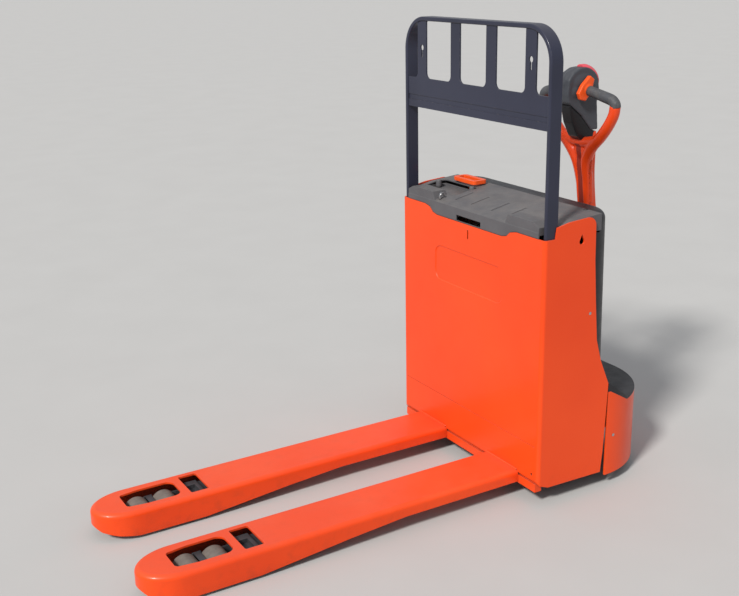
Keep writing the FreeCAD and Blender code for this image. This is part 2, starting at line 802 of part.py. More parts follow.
def lid_hinge():
    """Two pins on leaves that stand up from the back of the battery box."""
    pieces = []
    for y in (HINGE_OFFSET * -1, HINGE_OFFSET):
        leaf = box((D.box_depth + 1, y - 4, D.panel_top - 31), (4, 8, PIN_Z - D.panel_top + 31))
        arm = box((D.box_depth + 1, y - 4, PIN_Z - 3), (PIN_X - D.box_depth, 8, 6))
        pin = rod((PIN_X, y - 18, PIN_Z), "y", 2.55, 36)
        pieces.append(fuse(leaf, arm, pin))
    return group(*pieces)


def isolator():
    """The pull ring of the battery disconnector, on a flat plug that drops through the lid."""
    base = D.lid_top + 2
    ring = box((ISOLATOR_X - 27, ISOLATOR_Y - 58, base), (54, 116, 12))
    ring = rounded(ring, 12, lambda edge: runs(edge, "z"))
    grip_hole = box((ISOLATOR_X - 14, ISOLATOR_Y - 46, base - 1), (26, 92, 14))
    grip_hole = rounded(grip_hole, 5, lambda edge: runs(edge, "z"))
    low = D.panel_top - 5
    plug = box((ISOLATOR_X + 12, ISOLATOR_Y - 24, low), (14, 48, base - low + 2))
    return fuse(cut(ring, grip_hole), plug)


# ---------------------------------------------------------------------------------------------
# chassis

def chassis_frame():
    """The plate over the wheels, the upright bulkhead, and the two caster sockets."""
    half = HALF_BODY - D.skirt_wall
    plate = slab(D.bulkhead_start, D.head_length - D.skirt_wall, half, D.plate_height,
                 D.plate_height + D.plate_thickness)
    plate = rounded(plate, D.skirt_round, lambda edge: runs(edge, "z")
                    and middle(edge).x > float(STEER_AXIS))
    bulkhead = slab(D.bulkhead_start, D.bulkhead_start + 5, HALF_BODY - 30,
                    D.plate_height, 800)
    slew_hole = rod((STEER_AXIS, 0, D.plate_height - 5), "z", D.slew_radius + D.running_gap, 30)
    slot = box((D.bulkhead_start - 5, LIFT_Y - 36, LIFT_TOP - 10), (20, 72, D.lift_travel + 34))
    sockets = [rod((D.caster_place, CASTER_OFFSET * side, D.plate_height - 80), "z", 28, 80)
               for side in (-1, 1)]
    bores = [rod((D.caster_place, CASTER_OFFSET * side, D.plate_height - 90), "z",
                 D.caster_stem_radius + D.running_gap, 85) for side in (-1, 1)]
    return cut(fuse(plate, bulkhead, *sockets), slew_hole, slot, *bores)


def skirt_plan(inset, low, high, start):
    """The round-cornered plan of the drive skirt as a block."""
    half = HALF_BODY - inset
    block = slab(start, D.head_length - inset, half, low, high)
    return rounded(block, D.skirt_round - inset, lambda edge: runs(edge, "z")
                   and middle(edge).x > float(STEER_AXIS))


def drive_skirt():
    """The bent steel skirt round the drive wheel and casters, its top sloping to the front."""
    blank = skirt_plan(0, D.skirt_bottom, D.skirt_high, D.skirt_start - 9)
    room = skirt_plan(D.skirt_wall, D.skirt_bottom - 5, D.skirt_high + 5, D.skirt_start - 60)
    slope = prism("side", -BEYOND, BEYOND * 2,
                  [(D.skirt_start, D.skirt_high), (D.skirt_start + 85, D.skirt_low),
                   (D.head_length + 5, D.skirt_low), (D.head_length + 5, D.skirt_high + 5),
                   (D.skirt_start, D.skirt_high + 5)])
    screws = rod((291, -BEYOND, 162), "y", 5, BEYOND * 2)
    return cut(blank, room, slope, screws)


def skirt_screws():
    """One button-head screw low on each side of the skirt."""
    half = HALF_BODY
    return group(*[rod((291, y, 162), "y", 4.7, 4) for y in (half * -1 + 0.8, half - 4.8)])


def skirt_trim():
    """The moulded cover on the skirt, a wedge from the hood down to the tiller end."""
    blank = skirt_plan(0, D.skirt_low, D.trim_high + 5, D.skirt_start - 9)
    flat = D.skirt_low + 4
    end = D.head_length + 5
    wedge = prism("side", -BEYOND, BEYOND * 2,
                  [(D.skirt_start - 9, D.skirt_high), (D.skirt_start - 9, D.trim_high),
                   (D.skirt_start + 93, flat), (end, flat), (end, D.skirt_low),
                   (D.skirt_start + 85, D.skirt_low), (D.skirt_start, D.skirt_high)])
    well = rod((STEER_AXIS, 0, D.skirt_low - 20), "z", 118, 200)
    room = shaped(hood_block(float(D.hood_wall), float(D.skirt_low) - 10, float(D.hood_top)))
    return cut(common(blank, wedge), well, room)


def hood_block(inset, low, high):
    """A leaning block with a round front: the plan at its foot lofted to the plan at its top."""
    back = float(D.hood_side_start) - (10 if inset else 0)
    half = float(HOOD_HALF) - inset
    rise = float(D.hood_top) - float(D.plate_height)
    wires = []
    for height in (low, high):
        lean = float(D.hood_lean) * (height - float(D.plate_height)) / rise
        front = float(D.hood_front) - lean - inset
        radius = float(D.hood_round) - inset - lean
        wires.append(round_front_wire(back, front, half, radius, height))
    return Part.makeLoft(wires, True, True)


def crowned(block, top, radius):
    """Round the upper edge of a hood block all round its front and sides."""
    back = float(D.hood_side_start)
    rim = [edge for edge in block.Edges
           if edge.BoundBox.ZMin > top - 0.01 and edge.BoundBox.XMax > back + 1]
    return block.makeFillet(radius, rim)


def round_front_wire(back, front, half, radius, height):
    """A closed plan outline: straight back and sides, and two round front corners."""
    def at(x, y):
        return FreeCAD.Vector(x, y, height)

    bend = radius * math.sqrt(0.5)
    edges = [Part.LineSegment(at(back, half), at(back, -half)).toShape(),
             Part.LineSegment(at(back, -half), at(front - radius, -half)).toShape(),
             Part.Arc(at(front - radius, -half),
                      at(front - radius + bend, -half + radius - bend),
                      at(front, -half + radius)).toShape(),
             Part.LineSegment(at(front, -half + radius), at(front, half - radius)).toShape(),
             Part.Arc(at(front, half - radius),
                      at(front - radius + bend, half - radius + bend),
                      at(front - radius, half)).toShape(),
             Part.LineSegment(at(front - radius, half), at(back, half)).toShape()]
    return Part.Wire(edges)


def hood():
    """The moulded motor hood: a thin shell, open behind, with an arch for the motor cover."""
    low = float(D.plate_height)
    top = float(D.hood_top)
    wall = float(D.hood_wall)
    outer = crowned(hood_block(0, low, top), top, 26)
    inner = crowned(hood_block(wall, low - 1, top - wall), top - wall, 26 - wall)
    shell = shaped(outer.cut(inner))
    under = prism("side", -BEYOND, BEYOND * 2,
                  [(D.hood_side_start - 20, D.plate_height - 5),
                   (D.hood_side_start - 20, D.trim_high + 1),
                   (D.skirt_start - 9, D.trim_high + 1),
                   (D.skirt_start + 93, D.skirt_low + 5), (D.skirt_start + 93, D.plate_height - 5)])
    arch = rod((STEER_AXIS, 0, D.plate_height), "z", D.cover_radius + 12,
               D.cover_top + 14 - D.plate_height)
    lid_room = slab(D.hood_side_start - 20, D.hood_start, BEYOND, D.panel_top - 6, D.hood_top + 5)
    return cut(shell, under, arch, lid_room)


def lift_cylinder():
    """The upright cylinder on its solid foot."""
    base = D.plate_height + D.plate_thickness
    body = tube((LIFT_X, LIFT_Y, 290), "z", 25, 15 + D.running_gap, 255)
    foot = rod((LIFT_X, LIFT_Y, base), "z", 25, 40)
    return fuse(body, foot)


def hydraulic_tank():
    """The oil tank, which stands on the plate behind the bulkhead."""
    base = D.plate_height + D.plate_thickness
    tank = box((D.bulkhead_start + 8, 110, base), (62, 140, 168))
    return rounded(tank, 8, lambda edge: runs(edge, "z"))


def pump_motor():
    """The pump motor lies on the tank, on a valve block."""
    base = D.plate_height + D.plate_thickness + 168
    block = box((D.bulkhead_start + 18, 160, base), (40, 60, 20))
    motor = rod((D.bulkhead_start + 38, 125, base + 40), "y", 28, 120)
    return fuse(block, motor)


def motor_controller():
    """A finned controller bolted to the bulkhead."""
    start = D.bulkhead_start + 5
    base = box((start, -110, 520), (26, 220, 190))
    fins = [box((start + 26, column * 20 - 104, 524), (14, 5, 182)) for column in range(11)]
    return fuse(base, *fins)


def main_contactor():
    """The contactor on the bulkhead, with its two terminals."""
    start = D.bulkhead_start + 5
    return fuse(box((start, 150, 560), (30, 60, 70)), rod((start + 15, 165, 630), "z", 5, 14),
                rod((start + 15, 195, 630), "z", 5, 14))


def guide_rails():
    """Four strips on the bulkhead, in two pairs, with a shoe sliding between each pair."""
    strips = []
    for side in (-1, 1):
        for low in (-19.4, 15.4):
            strips.append(box((D.box_depth + D.sheet + 2, GUIDE_OFFSET * side + low, 300),
                              (D.bulkhead_start - D.box_depth - D.sheet - 2, 4, 480)))
    return group(*strips)


def caster_swivel(side):
    """A caster fork: the stem, the top plate, two legs and the wheel's axle."""
    y = CASTER_OFFSET * side
    legs_top = D.plate_height - 84
    stem = rod((D.caster_place, y, legs_top), "z", D.caster_stem_radius, 76)
    crown = rod((D.caster_place, y, legs_top - 6), "z", 30, 6)
    arch = box((D.caster_place - D.caster_trail - 16, y - 29, legs_top - 12),
               (D.caster_trail + 40, 58, 8))
    pieces = [stem, crown, arch]
    wheel_height = D.caster_diameter / 2
    for low in (-29, 24):
        leg = box((D.caster_place - D.caster_trail - 16, y + low, wheel_height - 16),
                  (32, 5, legs_top - 8 - wheel_height + 16))
        pieces.append(rounded(leg, 14, lambda edge: runs(edge, "y")
                              and middle(edge).z < float(wheel_height)))
    pieces.append(rod((D.caster_place - D.caster_trail, y - 29, wheel_height), "y",
                      D.caster_axle_radius, 58))
    return fuse(*pieces)


def caster_wheel(side):
    """A solid wheel with a rounded tread and a hub that stands out on both sides."""
    y = CASTER_OFFSET * side
    radius = D.caster_diameter / 2
    start = (D.caster_place - D.caster_trail, y - D.caster_width / 2, radius)
    tread = rod(start, "y", radius, D.caster_width)
    outer = float(radius)
    tread = rounded(tread, 9, lambda edge: edge.Length > 2 * math.pi * outer - 1)
    hub = rod((start[0], y - D.caster_width / 2 - 3, radius), "y", 18, D.caster_width + 6)
    bore = rod((start[0], y - 40, radius), "y", D.caster_axle_radius + D.running_gap, 80)
    return cut(fuse(tread, hub), bore)


# ---------------------------------------------------------------------------------------------
# drive unit

def gearbox():
    """Slewing flanges and neck on the plate, and the housing that hangs beside the wheel."""
    x = STEER_AXIS
    wheel_top = D.drive_diameter + 1.5
    lower = rod((x, 0, wheel_top), "z", 90, D.plate_height - 0.4 - wheel_top)
    neck_top = D.plate_height + D.plate_thickness
    neck = rod((x, 0, wheel_top), "z", D.slew_radius, neck_top + 6 - wheel_top)
    upper = rod((x, 0, neck_top + 0.4), "z", 90, 5.6)
    side = D.drive_width / 2 + 5
    leg = box((x - 45, side, 70), (90, 36, wheel_top - 70 + 4))
    leg = rounded(leg, 20, lambda edge: runs(edge, "y") and middle(edge).z < 100)
    boss = rod((x, side, D.drive_diameter / 2), "y", 42, 30)
    axle = rod((x, D.drive_width / 2 * -1 - 6, D.drive_diameter / 2), "y", D.drive_axle_radius,
               D.drive_width + 20)
    return fuse(lower, neck, upper, leg, boss, axle)


def drive_tyre():
    """The driven wheel's tyre, with rounded shoulders."""
    start = (STEER_AXIS, D.drive_width / 2 * -1, D.drive_diameter / 2)
    tyre = tube(start, "y", D.drive_diameter / 2, D.drive_diameter / 2 - 22, D.drive_width)
    outer = float(D.drive_diameter) / 2
    return rounded(tyre, 6, lambda edge: edge.Length > 2 * math.pi * outer - 1)


def drive_hub():
    """The cast rim inside the tyre: a band, a web and the bored hub."""
    low = D.drive_width / 2 * -1
    centre = D.drive_diameter / 2
    band = tube((STEER_AXIS, low, centre), "y", centre - 22, centre - 32, D.drive_width)
    web = rod((STEER_AXIS, -8, centre), "y", centre - 30, 16)
    hub = rod((STEER_AXIS, low, centre), "y", 34, D.drive_width)
    bore = rod((STEER_AXIS, low - 5, centre), "y", D.drive_axle_radius + D.running_gap,
               D.drive_width + 10)
    return cut(fuse(band, web, hub), bore)


def drive_motor():
    """The upright traction motor with its brake on top."""
    base = D.plate_height + D.plate_thickness + 6
    motor = rod((STEER_AXIS, 0, base), "z", D.motor_radius, 150)
    brake = rod((STEER_AXIS, 0, base + 150), "z", 44, 30)
    return fuse(motor, brake)


def motor_cover():
    """A round-topped cap over the motor that turns with it."""
    base = D.plate_height + D.plate_thickness + 6
    outer = rod((STEER_AXIS, 0, base), "z", D.cover_radius, D.cover_top - base)
    top = float(D.cover_top)
    outer = rounded(outer, 26, lambda edge: edge.BoundBox.ZMin > top - 0.01)
    inner = rod((STEER_AXIS, 0, base - 1), "z", D.cover_radius - 4, D.cover_top - base - 3)
    inner = rounded(inner, 22, lambda edge: edge.BoundBox.ZMin > top - 4.01)
    return cut(outer, inner)


def tiller_bracket():
    """Two cheeks on the slewing flange that carry the tiller's pivot pin."""
    low = D.plate_height + D.plate_thickness + 14
    half = D.arm_width / 2
    pieces = []
    for start in (half * -1 - 11, half + 3):
        cheek = prism("side", start, 8,
                      [(STEER_AXIS + 68, low), (PIVOT_REACH + 8, low),
                       (PIVOT_REACH + 18, D.pivot_height),
                       (PIVOT_REACH + 10, D.pivot_height + 16),
                       (PIVOT_REACH - 10, D.pivot_height + 16),
                       (STEER_AXIS + 68, D.pivot_height + 6)])
        pieces.append(cheek)
    pieces.append(rod((PIVOT_REACH, half * -1 - 11, D.pivot_height), "y", D.pivot_radius,
                      D.arm_width + 22))
    shelf = slab(STEER_AXIS + 66, PIVOT_REACH + 8, half + 11, low - 8, low)
    pieces.append(shelf)
    ring_room = rod((STEER_AXIS, 0, low - 20), "z", D.cover_radius + 0.5, 200)
    foot = common(rod((STEER_AXIS, 0, low - 8), "z", 90, 8),
                  slab(STEER_AXIS + 40, STEER_AXIS + 100, half + 11, low - 20, low + 20))
    return cut(fuse(*pieces, foot), ring_room)


# ---------------------------------------------------------------------------------------------
# tiller

def arm_blank():
    """The bowed bar that the arm is cut from."""
    half = D.arm_width / 2
    x = PIVOT_REACH
    z = D.pivot_height
    arm = prism("side", half * -1, D.arm_width,
                [(x - 17, z - 6), (x + 4, z - 19), (x + 20, z - 4), (x + 50, z + 66),
                 (x + 65, z + 166), (x + 65, z + 316), (x + 56, z + 400), (x + 46, z + 455),
                 (x + 40, z + 531), (x + 38, D.stem_top), (x + 8, D.stem_top), (x + 2, z + 655),
                 (x - 20, z + 650), (x - 19, z + 600), (x - 13, z + 535), (x, z + 455),
                 (x + 15, z + 380), (x + 19, z + 316), (x + 18, z + 176), (x + 8, z + 80),
                 (x - 17, z + 16)])
    return rounded(arm, 9, lambda edge: abs(middle(edge).y) > float(half) - 0.1)


def tiller_arm():
    """The bowed arm with the bored boss at its foot."""
    half = D.arm_width / 2
    x = PIVOT_REACH
    z = D.pivot_height
    boss = rod((x, half * -1, z), "y", 19, D.arm_width)
    bore = rod((x, half * -1 - 5, z), "y", D.pivot_radius + D.running_gap, D.arm_width + 10)
    return cut(fuse(arm_blank(), boss), bore)


RING_TILT = 6


def ring_point(y, z, forward=0):
    """A point of the handle ring, whose plane leans toward the truck as it rises."""
    low = float(D.ring_low)
    return FreeCAD.Vector(float(RING_PLACE) - (z - low) * math.tan(math.radians(RING_TILT))
                          + forward, y, z)


def grip_point(reach, side):
    """A point on the middle line of a grip, which falls a little toward its elbow."""
    return ring_point(reach * side, float(D.grip_height) + 4 - (reach - 29) * 0.2)


def swept(points, radii, radius):
    """A round bar along a rounded path."""
    path = path_wire(points, radii)
    direction = (points[1] - points[0]).normalize()
    circle = Part.Wire(Part.Circle(points[0], direction, radius).toShape())
    return path.makePipeShell([circle], True, True)


def handle_ring():
    """The orange hoop: two arms that rise from the tiller and round the elbows."""
    tube_radius = float(D.ring_tube)
    wide = float(D.ring_half_width)
    low = float(D.ring_low)
    grip = float(D.grip_height)
    points = [grip_point(wide - 22, 1), grip_point(wide + 2, 1),
              ring_point(wide - 8, grip - 66), ring_point(wide - 70, low + 12),
              ring_point(0, low - 16),
              ring_point(70 - wide, low + 12), ring_point(8 - wide, grip - 66),
              grip_point(wide + 2, -1), grip_point(wide - 22, -1)]
    hoop = shaped(swept(points, [18, 26, 70, 90, 70, 26, 18], tube_radius))
    return cut(hoop, arm_blank())


def handle_grips():
    """The two rubber grips, from the pod out to the elbows of the hoop."""
    halves = []
    for side in (-1, 1):
        start = grip_point(float(D.pod_half_width) + WING_WIDTH + 7, side)
        end = grip_point(float(D.ring_half_width) - 22, side)
        direction = end - start
        halves.append(shaped(Part.makeCylinder(16, direction.Length, start, direction)))
    return group(*halves)


def control_pod():
    """The domed head: a deep housing whose underside slants back to the top of the arm."""
    half = D.pod_half_width
    x = RING_PLACE
    top = D.pod_top
    pod = prism("side", half * -1, half * 2,
                [(x + 22, D.stem_top + 1), (x + 51, D.stem_top + 1), (x + 43, top - 111),
                 (x + 51, top - 70), (x + 47, top - 40), (x + 36, top - 20), (x + 16, top - 6),
                 (x - 4, top), (x - 32, top - 2), (x - 58, top - 14), (x - 76, top - 36),
                 (x - 80, top - 80), (x - 76, top - 104), (x - 20, top - 148)])
    pod = rounded(pod, 9, lambda edge: abs(middle(edge).y) > float(half) - 0.1
                  and middle(edge).z > float(D.stem_top) + 2)
    shaft = rod((ROCKER_X, half * -1 - 5, ROCKER_Z), "y", 8 + D.running_gap, half * 2 + 10)
    horn = rod((BUTTON_X - 6, 0, BUTTON_Z), "x", 8, 40)
    pair = [rod((BUTTON_X - 6, y, BUTTON_Z - 40), "x", 6.5, 40) for y in (-13, 13)]
    slot = prism("side", -7, 14, tongue_outline(8, 1))
    return cut(pod, shaft, horn, slot, *pair)


ROCKER_X = RING_PLACE - 16
ROCKER_Z = D.grip_height + 2
WING_WIDTH = 16
BUTTON_X = RING_PLACE + 32
BUTTON_Z = D.pod_top - 83


def accelerator_rocker():
    """A wing on each side of the pod, in line with the grips, on a shaft through the pod."""
    half = D.pod_half_width
    x = ROCKER_X
    z = ROCKER_Z
    pieces = [rod((x, half * -1 - 2, z), "y", 8, half * 2 + 4)]
    for side in (-1, 1):
        start = half + 1.5 if side > 0 else half * -1 - 1.5 - WING_WIDTH
        wing = prism("side", start, WING_WIDTH,
                     [(x + 24, z + 32), (x + 7, z + 44), (x - 24, z + 14), (x - 40, z - 12),
                      (x - 28, z - 32), (x - 8, z - 34), (x + 12, z - 10)])
        pieces.append(rounded(wing, 4, lambda edge: True))
    return fuse(*pieces)


def tongue_outline(deeper, gap):
    """The belly button's guide, which runs down and forward into the pod."""
    x = RING_PLACE + 42
    z = D.pod_top - 12
    half = 6 + gap
    reach = 24 + deeper
    return [(x + half, z - half), (x - half, z + half), (x - half - reach, z + half - reach),
            (x + half - reach, z - half - reach)]


def belly_button():
    """The reversing button: a curved cap over the pod's crown toward the operator."""
    x = RING_PLACE
    top = D.pod_top
    cap = prism("side", -24, 48,
                [(x + 8, top + 9), (x + 32, top + 2), (x + 52, top - 14), (x + 62, top - 38),
                 (x + 63, top - 58), (x + 57, top - 58), (x + 55, top - 39), (x + 45, top - 19),
                 (x + 28, top - 4), (x + 8, top + 4)])
    cap = rounded(cap, 2, lambda edge: runs(edge, "y"))
    return fuse(cap, prism("side", -6, 12, tongue_outline(0, 0)))


def push_button(y, z, radius, reach):
    """A small button in the pod's face toward the operator."""
    return rod((BUTTON_X, y, z), "x", radius, reach)


# ---------------------------------------------------------------------------------------------
# the assembly

def build():
    """Make every sub-part under the name of its node."""
    sides = (("left", 1), ("right", -1))
    for word, side in sides:
        node("fork_" + word, fork(side))
        node("load_arm_" + word, load_arm(side))
        node("bogie_" + word, bogie(side))
        node("load_roller_front_" + word, load_roller(side, -1))
        node("load_roller_rear_" + word, load_roller(side, 1))
        node("push_rod_" + word, push_rod(side))
        node("caster_swivel_" + word, caster_swivel(side))
        node("caster_wheel_" + word, caster_wheel(side))
    for maker in (rocker_shaft, shaft_bearings, load_arm_pins, heel_beam, body_shell,
                  battery_floor, rear_wall, piston_rod, guide_shoes, battery_case, battery_cells,
                  battery_bridges, screw_heads, guard_frame, guard_plate, lid, lid_hinge, isolator,
                  chassis_frame, drive_skirt, skirt_screws, skirt_trim, hood, lift_cylinder,
                  hydraulic_tank, pump_motor, motor_controller, main_contactor, guide_rails,
                  gearbox, drive_tyre, drive_hub, drive_motor, motor_cover, tiller_bracket,
                  tiller_arm, handle_ring, handle_grips, control_pod, accelerator_rocker,
                  belly_button):
        node(maker.__name__, maker())
    node("horn_button", push_button(0, BUTTON_Z, 7.6, 20))
    node("lift_button", push_button(-13, BUTTON_Z - 40, 6.1, 14))
    node("lower_button", push_button(13, BUTTON_Z - 40, 6.1, 14))


def check_and_write():
    """Stop on any failed object or bad shape, and then write each sub-part's file."""
    DOCUMENT.recompute()
    for thing in DOCUMENT.Objects:
        if "Invalid" in thing.State or "Error" in thing.State:
            raise RuntimeError("failed object: %s (%s)" % (thing.Name, thing.Label))
    for piece in NODES:
        if piece.Shape.isNull() or not piece.Shape.isValid() or not piece.Shape.Solids:
            raise RuntimeError("bad shape: " + piece.Label)
    os.makedirs("parts", exist_ok=True)
    for piece in NODES:
        piece.Shape.exportStep(os.path.join("parts", piece.Label + ".step"))


build()
check_and_write()
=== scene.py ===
"""Looks for the electric pallet truck: finishes for the CAD nodes, the moulded tiller head, welds,
grime and wear, painted shade and highlights, and a plain studio round it. Lengths are in metres,
in the CAD's own frame."""

import json
import math
import random

import bmesh
import bpy
from mathutils import Matrix, Vector


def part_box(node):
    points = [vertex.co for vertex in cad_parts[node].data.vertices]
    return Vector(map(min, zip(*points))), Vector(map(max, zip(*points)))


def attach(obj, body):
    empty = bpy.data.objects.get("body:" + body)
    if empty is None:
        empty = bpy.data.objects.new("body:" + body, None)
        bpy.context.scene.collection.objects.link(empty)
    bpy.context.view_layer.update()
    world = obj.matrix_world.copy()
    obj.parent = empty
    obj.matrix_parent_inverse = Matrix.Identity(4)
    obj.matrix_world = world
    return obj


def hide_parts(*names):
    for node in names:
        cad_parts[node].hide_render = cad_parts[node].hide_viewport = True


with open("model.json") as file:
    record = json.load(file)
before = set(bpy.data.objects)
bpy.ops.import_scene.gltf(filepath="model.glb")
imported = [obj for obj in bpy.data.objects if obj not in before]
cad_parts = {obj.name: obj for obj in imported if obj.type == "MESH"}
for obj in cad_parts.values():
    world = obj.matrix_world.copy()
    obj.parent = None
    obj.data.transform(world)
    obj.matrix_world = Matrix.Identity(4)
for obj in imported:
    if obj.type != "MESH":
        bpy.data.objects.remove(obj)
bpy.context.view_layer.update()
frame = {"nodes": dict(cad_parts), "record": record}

MM = 0.001
random.seed(7)
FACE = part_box("body_shell")[0][0]


def at(x, y, z):
    """A point given in millimetres from the fork face, the middle plane and the floor."""
    return Vector((FACE + x * MM, y * MM, z * MM))


# ---------------------------------------------------------------------------------------------
# materials

PAINTED_EDGE = 0.0012
MOULDED_EDGE = 0.0022
WEAR_AND_HIGHLIGHT_WIDTH = 0.003


class Finish:
    """A node tree under construction, with short names for the nodes that the finishes share."""

    def __init__(self, name):
        self.material = bpy.data.materials.new(name)
        self.material.use_nodes = True
        self.tree = self.material.node_tree
        self.shader = self.tree.nodes["Principled BSDF"]
        self.place = self.tree.nodes.new("ShaderNodeTexCoord").outputs["Object"]

    def node(self, kind, **inputs):
        made = self.tree.nodes.new(kind)
        for key, value in inputs.items():
            self.feed(made, key, value)
        return made

    def feed(self, node, key, value):
        """Link a socket, or set a constant, on an input named with underscores for spaces."""
        socket = node.inputs[key.replace("_", " ")] if isinstance(key, str) else node.inputs[key]
        if isinstance(value, bpy.types.NodeSocket):
            self.tree.links.new(value, socket)
        else:
            socket.default_value = value

    def set(self, **inputs):
        for key, value in inputs.items():
            self.feed(self.shader, key, value)

    def stretched(self, x, y, z):
        mapping = self.node("ShaderNodeMapping", Vector=self.place, Scale=(x, y, z))
        return mapping.outputs["Vector"]

    def noise(self, scale, detail=4.0, roughness=0.55, vector=None, distortion=0.0):
        made = self.node("ShaderNodeTexNoise", Vector=vector or self.place, Scale=scale,
                         Detail=detail, Roughness=roughness, Distortion=distortion)
        return made.outputs["Fac"]

    def cells(self, scale):
        made = self.node("ShaderNodeTexVoronoi", Vector=self.place, Scale=scale)
        return made.outputs["Distance"]

    def ramp(self, factor, low, high, bottom=0.0, top=1.0):
        """Stretch a factor so that low becomes bottom and high becomes top."""
        made = self.node("ShaderNodeMapRange", Value=factor)
        made.inputs["From Min"].default_value = low
        made.inputs["From Max"].default_value = high
        made.inputs["To Min"].default_value = bottom
        made.inputs["To Max"].default_value = top
        return made.outputs["Result"]

    def math(self, operation, first, second=0.0):
        made = self.tree.nodes.new("ShaderNodeMath")
        made.operation = operation
        self.feed(made, 0, first)
        self.feed(made, 1, second)
        return made.outputs[0]

    def mix(self, factor, first, second):
        """Blend two colours."""
        made = self.tree.nodes.new("ShaderNodeMix")
        made.data_type = "RGBA"
        for socket, value in zip([made.inputs[0], made.inputs[6], made.inputs[7]],
                                 [factor, first, second]):
            if isinstance(value, bpy.types.NodeSocket):
                self.tree.links.new(value, socket)
            elif socket is made.inputs[0]:
                socket.default_value = value
            else:
                socket.default_value = (*value, 1.0)
        return made.outputs[2]

    def bump(self, height, strength, distance, normal=None):
        made = self.node("ShaderNodeBump", Height=height, Strength=strength, Distance=distance)
        if normal is not None:
            self.feed(made, "Normal", normal)
        return made.outputs["Normal"]

    def axis(self, name):
        """One coordinate of the place on the object."""
        split = self.node("ShaderNodeSeparateXYZ", Vector=self.place)
        return split.outputs[name]

    def facing_up(self):
        """1 on surfaces that look straight up, 0 on walls."""
        geometry = self.tree.nodes.new("ShaderNodeNewGeometry")
        split = self.node("ShaderNodeSeparateXYZ", Vector=geometry.outputs["Normal"])
        return self.ramp(split.outputs["Z"], 0.35, 0.95)

    def soft_normal(self, radius):
        """The surface's direction, as if each sharp edge were rounded off a little."""
        bevel = self.node("ShaderNodeBevel", Radius=radius)
        bevel.samples = 4
        return bevel.outputs["Normal"]

    def edges(self):
        """1 along sharp edges, which rub first, and where plastics get a painted highlight."""
        geometry = self.tree.nodes.new("ShaderNodeNewGeometry")
        turn = self.tree.nodes.new("ShaderNodeVectorMath")
        turn.operation = "DOT_PRODUCT"
        self.tree.links.new(self.soft_normal(WEAR_AND_HIGHLIGHT_WIDTH), turn.inputs[0])
        self.tree.links.new(geometry.outputs["Normal"], turn.inputs[1])
        return self.ramp(turn.outputs["Value"], 0.985, 0.86)

    def shade_in_hollows(self, distance):
        """1 deep inside corners and hollows, where shade falls, and 0 in the open: the mask for
        painted shade.
        """
        made = self.node("ShaderNodeAmbientOcclusion", Distance=distance)
        made.samples = 6
        return self.ramp(made.outputs["AO"], 0.55, 0.08)


DUST = (0.36, 0.31, 0.26)
# Dark dirt near the floor, and also the colour of the painted shade in corners and hollows.
GRIME_AND_SHADE = (0.035, 0.028, 0.022)


def paint(name, colour, deep, roughness, coat, dust=0.10, wear=0.30, bare=(0.25, 0.23, 0.22)):
    """Powder coat on sheet steel: orange peel, slight fading, dust on top, grime near the floor,
    painted shade in corners and hollows, fine scratches, and rubbed edges."""
    f = Finish(name)
    fade = f.ramp(f.noise(2.3, 3.0), 0.35, 0.68)
    colour_now = f.mix(fade, deep, colour)
    grime_band = f.ramp(f.axis("Z"), 0.11, 0.0, 0.0, 0.30)
    grime_spots = f.ramp(f.noise(26.0, 5.0, 0.6), 0.50, 0.80)
    colour_now = f.mix(f.math("MULTIPLY", grime_band, grime_spots), colour_now, GRIME_AND_SHADE)
    # Painted shade: corners and hollows are darkened toward the grime colour.
    colour_now = f.mix(f.math("MULTIPLY", f.shade_in_hollows(0.09), 0.93), colour_now, GRIME_AND_SHADE)
    dusty = f.math("MULTIPLY", f.facing_up(), f.ramp(f.noise(9.0, 6.0, 0.6), 0.3, 0.75, 0.4, 1.0))
    colour_now = f.mix(f.math("MULTIPLY", dusty, dust), colour_now, DUST)
    hair = f.noise(1.0, 3.0, 0.5, f.stretched(14.0, 420.0, 420.0), 0.4)
    along = f.noise(1.0, 3.0, 0.5, f.stretched(380.0, 380.0, 9.0), 0.4)
    scratches = f.math("MAXIMUM", f.ramp(hair, 0.745, 0.78), f.ramp(along, 0.755, 0.79))
    scratches = f.math("MULTIPLY", scratches, f.ramp(f.noise(5.0, 3.0), 0.50, 0.66))
    pale = tuple(min(1.0, c * 0.8 + 0.10) for c in colour)
    colour_now = f.mix(f.math("MULTIPLY", scratches, 0.4), colour_now, pale)
    chips = f.math("MULTIPLY", f.edges(), f.ramp(f.noise(85.0, 6.0, 0.7), 0.54, 0.62))
    colour_now = f.mix(f.math("MULTIPLY", chips, wear), colour_now, bare)
    rough = f.ramp(f.noise(11.0, 6.0, 0.6), 0.3, 0.75, roughness - 0.05, roughness + 0.08)
    rough = f.math("ADD", rough, f.math("MULTIPLY", dusty, dust * 1.2))
    peel = f.bump(f.noise(620.0, 2.0, 0.4), 0.10, 0.0004, f.soft_normal(PAINTED_EDGE))
    waves = f.bump(f.noise(6.0, 2.0, 0.4), 0.08, 0.006, peel)
    normal = f.bump(scratches, -0.15, 0.0003, waves)
    f.set(Base_Color=colour_now, Roughness=rough, Normal=normal)
    f.set(IOR=1.5, Specular_IOR_Level=0.24, Coat_Weight=coat, Coat_Roughness=0.12)
    return f.material


